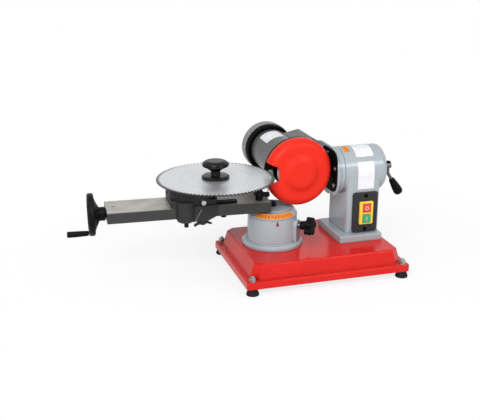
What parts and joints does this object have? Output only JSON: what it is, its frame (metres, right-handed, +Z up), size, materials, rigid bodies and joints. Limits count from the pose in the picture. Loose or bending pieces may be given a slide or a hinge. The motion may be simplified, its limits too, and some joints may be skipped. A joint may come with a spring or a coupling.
{
  "type": "saw blade grinder",
  "caption": "Bench grinder for circular saw blades: swivelling arm with screw-fed carriage and clamped blade, tilting motor head with guarded wheel, switch column.",
  "frame": {"origin": "centre of the base's footprint, on the bench under the rubber feet", "axes": "+X right along the base from the arm to the clamp lever, +Y to the back where the motor points, +Z up"},
  "size_m": [0.755, 0.3694, 0.2945],
  "materials": {
    "base_red": "smooth red enamel",
    "guard_red": "bright orange-red enamel",
    "casting_grey": "silver-grey hammered enamel",
    "dark_paint": "satin dark grey enamel",
    "motor_black": "satin black enamel",
    "motor_grey": "satin dark grey enamel",
    "bare_steel": "machined steel",
    "zinc_steel": "zinc-plated steel",
    "bright_chrome": "polished chrome",
    "blade_steel": "ground tool steel",
    "bronze": "machined bronze",
    "rubber": "matt black rubber",
    "black_plastic": "glossy black phenolic",
    "matt_plastic": "fine-grained black plastic",
    "yellow_plastic": "yellow plastic",
    "red_plastic": "red plastic",
    "green_plastic": "green plastic",
    "scale_orange": "orange printed scale band",
    "abrasive": "pale pink bonded abrasive",
    "iron_core": "stacked steel sheet"
  },
  "bodies": {
    "base": {"base_shell": "base_red", "rubber_feet": "rubber", "foot_bolts": "zinc_steel", "foot_nuts": "zinc_steel", "pedestal": "casting_grey", "column": "casting_grey", "machine_screws": "zinc_steel", "bushes": "bronze", "switch_plate": "matt_plastic", "switch_bezel": "yellow_plastic", "switch_body": "matt_plastic", "cable_gland": "matt_plastic"},
    "start_button": {"start_button": "green_plastic"},
    "stop_button": {"stop_button": "red_plastic"},
    "table": {"table_disc": "casting_grey", "angle_scale": "scale_orange", "pivot_bolt": "zinc_steel", "arm_rail": "bare_steel", "arm_screws": "zinc_steel", "screw_bush": "bronze", "finger_post": "dark_paint"},
    "index_finger": {"finger_arm": "dark_paint", "finger_rod": "bare_steel"},
    "feed_screw": {"lead_screw": "bare_steel", "handwheel": "black_plastic", "wheel_nut": "zinc_steel", "crank_pin": "bare_steel"},
    "crank_grip": {"crank_grip": "black_plastic"},
    "carriage": {"saddle": "dark_paint", "carriage_bolts": "bright_chrome", "blade_bracket": "dark_paint", "lead_nut": "bronze", "gib_strip": "bronze", "stop_bar": "dark_paint", "blade_arbor": "bare_steel"},
    "wing_screw": {"wing_screw": "dark_paint"},
    "saw_blade": {"saw_blade": "blade_steel"},
    "clamp_knob": {"clamp_knob": "black_plastic"},
    "lock_knob": {"lock_knob": "matt_plastic", "lock_stud": "bright_chrome"},
    "head": {"tilt_collar": "casting_grey", "motor_bracket": "motor_black", "tilt_shaft": "bare_steel", "motor_shell": "motor_grey", "end_bells": "motor_black", "fan_cover": "motor_grey", "stator": "iron_core", "capacitor_box": "motor_grey", "capacitor": "matt_plastic", "guard_backplate": "motor_black", "wheel_guard": "guard_red", "head_screws": "zinc_steel", "motor_bearings": "bare_steel"},
    "rotor": {"rotor_shaft": "bare_steel", "rotor_core": "iron_core", "cooling_fan": "matt_plastic", "grinding_wheel": "abrasive", "wheel_clamp": "zinc_steel"},
    "clamp_lever": {"lever_arm": "bright_chrome", "lever_grip": "black_plastic"}
  },
  "joints": [
    {"name": "start_press", "type": "slide", "parent": "base", "child": "start_button", "axis": [0, 1, 0], "range_m": [0, 0.003], "stiffness_N_per_m": 300},
    {"name": "stop_press", "type": "slide", "parent": "base", "child": "stop_button", "axis": [0, 1, 0], "range_m": [0, 0.003], "stiffness_N_per_m": 300},
    {"name": "table_swivel", "type": "hinge", "parent": "base", "child": "table", "pos_m": [-0.0849, 0.0071, 0.137], "axis": [0, 0, 1], "range_deg": [-11.64, 18.36]},
    {"name": "finger_turn", "type": "hinge", "parent": "table", "child": "index_finger", "pos_m": [-0.12224, -0.01475, 0.18], "axis": [0, 0, 1], "range_deg": [-25, 5]},
    {"name": "handwheel_turn", "type": "hinge", "parent": "table", "child": "feed_screw", "pos_m": [-0.47123, 0.02978, 0.154], "axis": [0.9983, -0.0586, 0], "range_deg": [-45.2, 9945.2]},
    {"name": "carriage_slide", "type": "slide", "parent": "table", "child": "carriage", "axis": [0.9983, -0.0586, 0], "range_m": [-0.1105, 0.0005]},
    {"name": "crank_grip_turn", "type": "hinge", "parent": "feed_screw", "child": "crank_grip", "pos_m": [-0.50018, 0.03148, 0.1135], "axis": [0.9983, -0.0586, 0], "continuous": true},
    {"name": "wing_screw_turn", "type": "hinge", "parent": "carriage", "child": "wing_screw", "pos_m": [-0.24797, -0.0234, 0.13], "axis": [0, 0, 1], "range_deg": [-90, 270]},
    {"name": "blade_spin", "type": "hinge", "parent": "carriage", "child": "saw_blade", "pos_m": [-0.20969, 0.01443, 0.2143], "axis": [0, 0, 1], "continuous": true},
    {"name": "clamp_knob_turn", "type": "hinge", "parent": "carriage", "child": "clamp_knob", "pos_m": [-0.20969, 0.01443, 0.235], "axis": [0, 0, 1], "range_deg": [0, 720]},
    {"name": "lock_knob_turn", "type": "hinge", "parent": "base", "child": "lock_knob", "pos_m": [-0.0849, 0.0071, 0.1087], "axis": [0.7581, -0.6521, 0], "range_deg": [-180, 180]},
    {"name": "head_tilt", "type": "hinge", "parent": "base", "child": "head", "pos_m": [0.1, 0.0205, 0.2097], "axis": [1, 0, 0], "range_deg": [-7.5, 5]},
    {"name": "rotor_spin", "type": "hinge", "parent": "head", "child": "rotor", "pos_m": [-0.0311, 0.1, 0.2229], "axis": [0, 1, 0], "continuous": true},
    {"name": "lever_turn", "type": "hinge", "parent": "head", "child": "clamp_lever", "pos_m": [0.18, 0.0205, 0.2097], "axis": [1, 0, 0], "range_deg": [-60, 60]}
  ],
  "couplings": [
    {"joint": "handwheel_turn", "follows": "carriage_slide", "rad_per_m": -1570.8}
  ]
}
